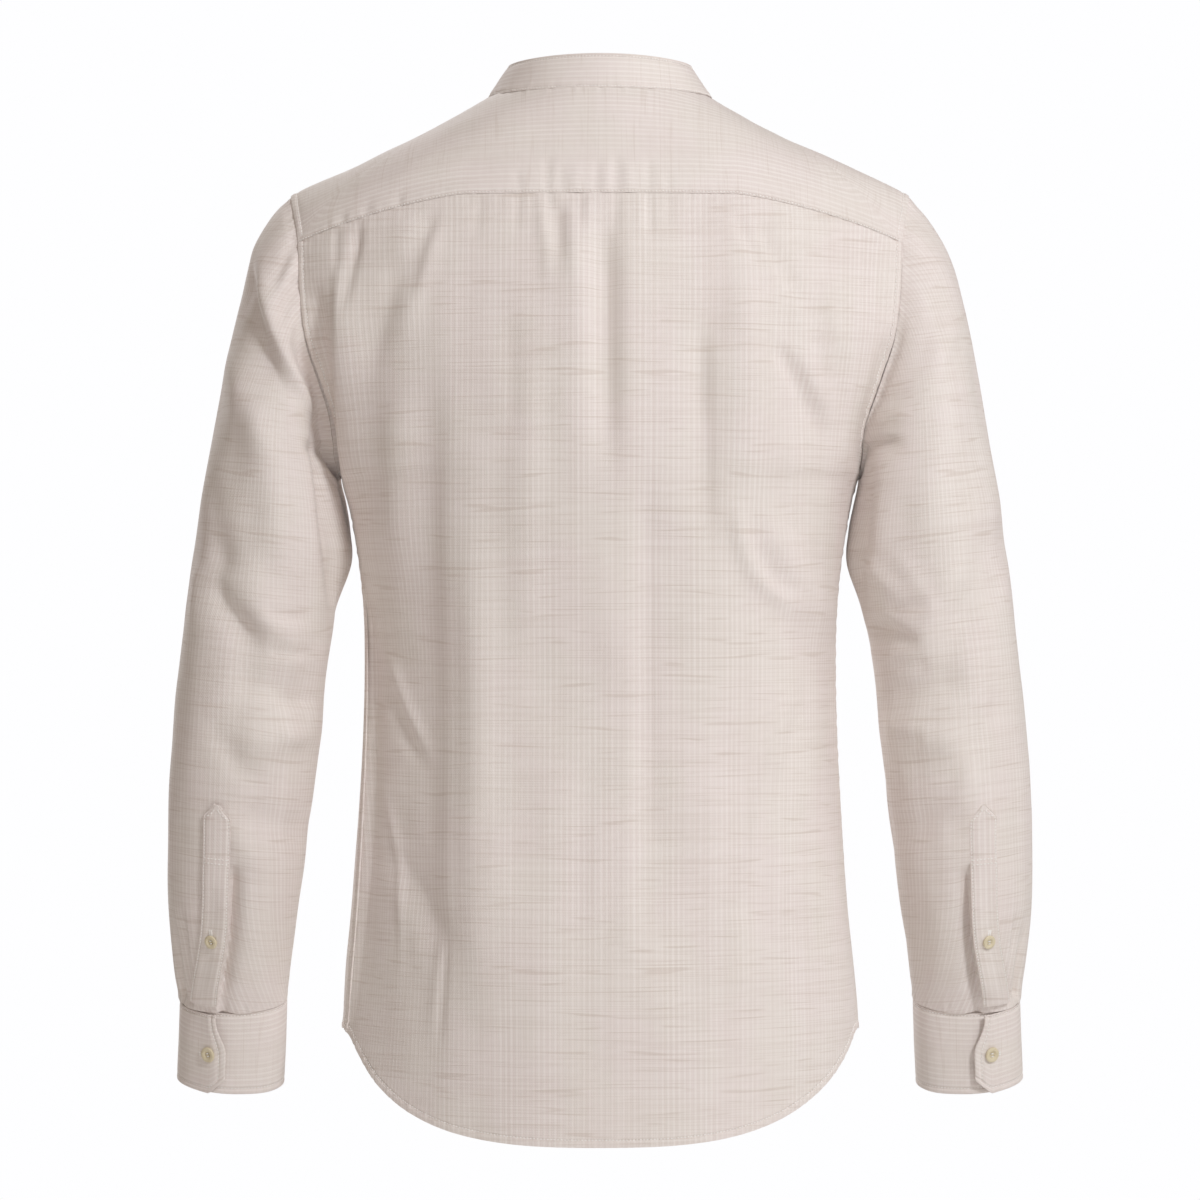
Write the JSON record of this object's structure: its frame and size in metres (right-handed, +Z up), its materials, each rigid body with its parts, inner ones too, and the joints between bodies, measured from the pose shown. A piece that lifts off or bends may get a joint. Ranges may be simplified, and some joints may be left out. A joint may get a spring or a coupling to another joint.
{
  "type": "mandarin collar shirt",
  "caption": "Long-sleeved shirt with a mandarin collar, back yoke, buttoned cuffs and placket and a curved hem, hollow and filled out as when worn.",
  "frame": {"origin": "midway between the two neck points of the shoulders, where the wearer's neck and shoulders carry the shirt", "axes": "+Z up, -Y towards the shirt's buttoned front, +X towards the wearer's left"},
  "size_m": [0.6254, 0.2421, 0.7656],
  "materials": {
    "cloth": "matte woven linen-look cotton, stripes running down",
    "cross_cloth": "the same cloth cut across, stripes running sideways",
    "button": "cream horn look, soft gloss"
  },
  "bodies": {
    "root": {"back": "cloth", "front_left": "cloth", "front_right": "cloth", "front_placket": "cloth", "sleeve_left": "cloth", "sleeve_right": "cloth", "sleeve_placket_left": "cloth", "sleeve_placket_right": "cloth", "yoke": "cross_cloth", "collar_band": "cross_cloth", "cuff_left": "cross_cloth", "cuff_right": "cross_cloth", "cuff_button_left": "button", "cuff_button_right": "button", "placket_button_left": "button", "placket_button_right": "button", "front_button_1": "button", "front_button_2": "button", "front_button_3": "button", "front_button_4": "button", "front_button_5": "button", "front_button_6": "button", "front_button_7": "button"}
  },
  "joints": []
}
